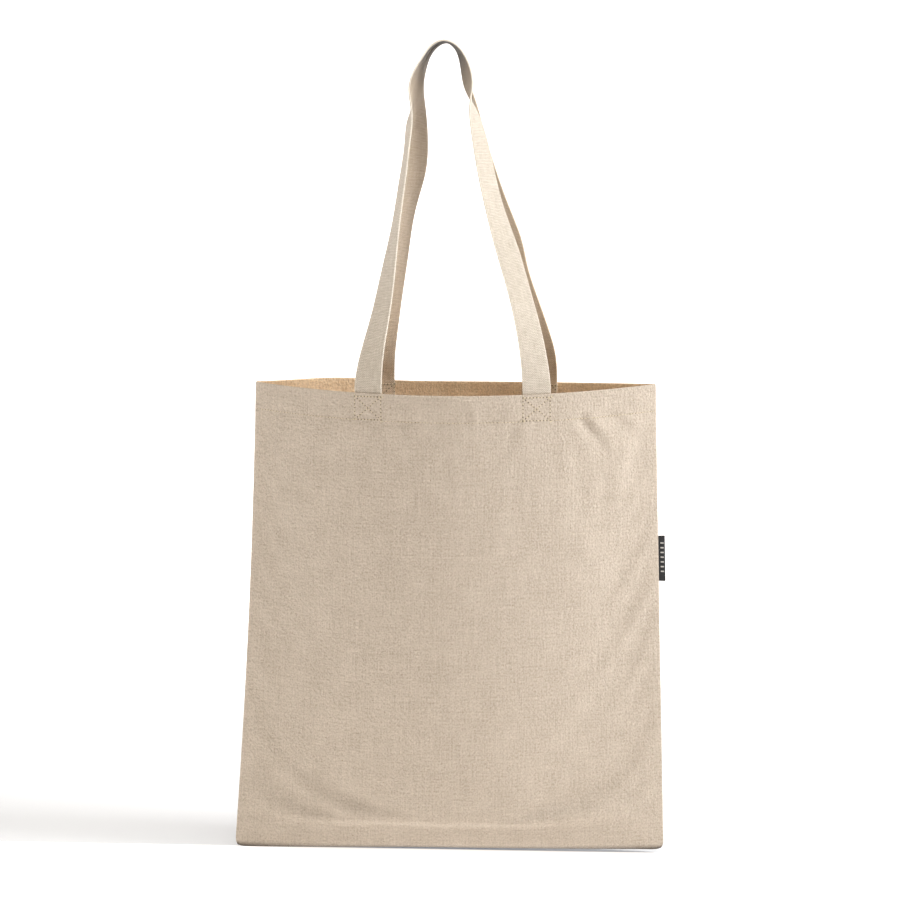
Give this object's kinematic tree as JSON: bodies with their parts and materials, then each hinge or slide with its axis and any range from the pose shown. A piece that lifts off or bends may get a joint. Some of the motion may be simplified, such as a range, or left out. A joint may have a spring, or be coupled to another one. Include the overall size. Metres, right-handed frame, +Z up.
{
  "type": "canvas tote bag",
  "caption": "Flat cotton canvas tote bag standing open, with sewn side and bottom seams, a turned hem, two long webbing handles and a folded side label.",
  "frame": {"origin": "on the floor under the middle of the bag's bottom seam", "axes": "+Z up, -Y towards the front, +X to the right seen from the front, where the side label is"},
  "size_m": [0.384, 0.1306, 0.716],
  "materials": {
    "canvas": "unbleached plain-weave cotton canvas",
    "webbing": "unbleached cotton webbing, fine cross ribs",
    "thread": "matt sewing thread",
    "label_ribbon": "woven satin ribbon, dark"
  },
  "bodies": {
    "bag": {"front_panel": "canvas", "back_panel": "canvas", "front_left_handle_end": "webbing", "front_right_handle_end": "webbing", "back_left_handle_end": "webbing", "back_right_handle_end": "webbing", "left_seam_thread": "thread", "right_seam_thread": "thread", "bottom_seam_thread": "thread", "front_hem_stitch": "thread", "back_hem_stitch": "thread", "front_left_box_stitch": "thread", "front_right_box_stitch": "thread", "back_left_box_stitch": "thread", "back_right_box_stitch": "thread", "label_sewn_ends": "label_ribbon"},
    "front_handle": {"front_handle": "webbing"},
    "back_handle": {"back_handle": "webbing"},
    "label": {"side_label": "label_ribbon"}
  },
  "joints": [
    {"name": "front_handle_swing", "type": "hinge", "parent": "bag", "child": "front_handle", "pos_m": [0.006, -0.0583, 0.4178], "axis": [1, 0, 0], "range_deg": [0, 180]},
    {"name": "back_handle_swing", "type": "hinge", "parent": "bag", "child": "back_handle", "pos_m": [0.006, 0.0583, 0.4178], "axis": [-1, 0, 0], "range_deg": [0, 180]},
    {"name": "label_flap", "type": "hinge", "parent": "bag", "child": "label", "pos_m": [0.18563, 0, 0.266], "axis": [-0.0262, 0, 0.9997], "range_deg": [-80, 80]}
  ]
}
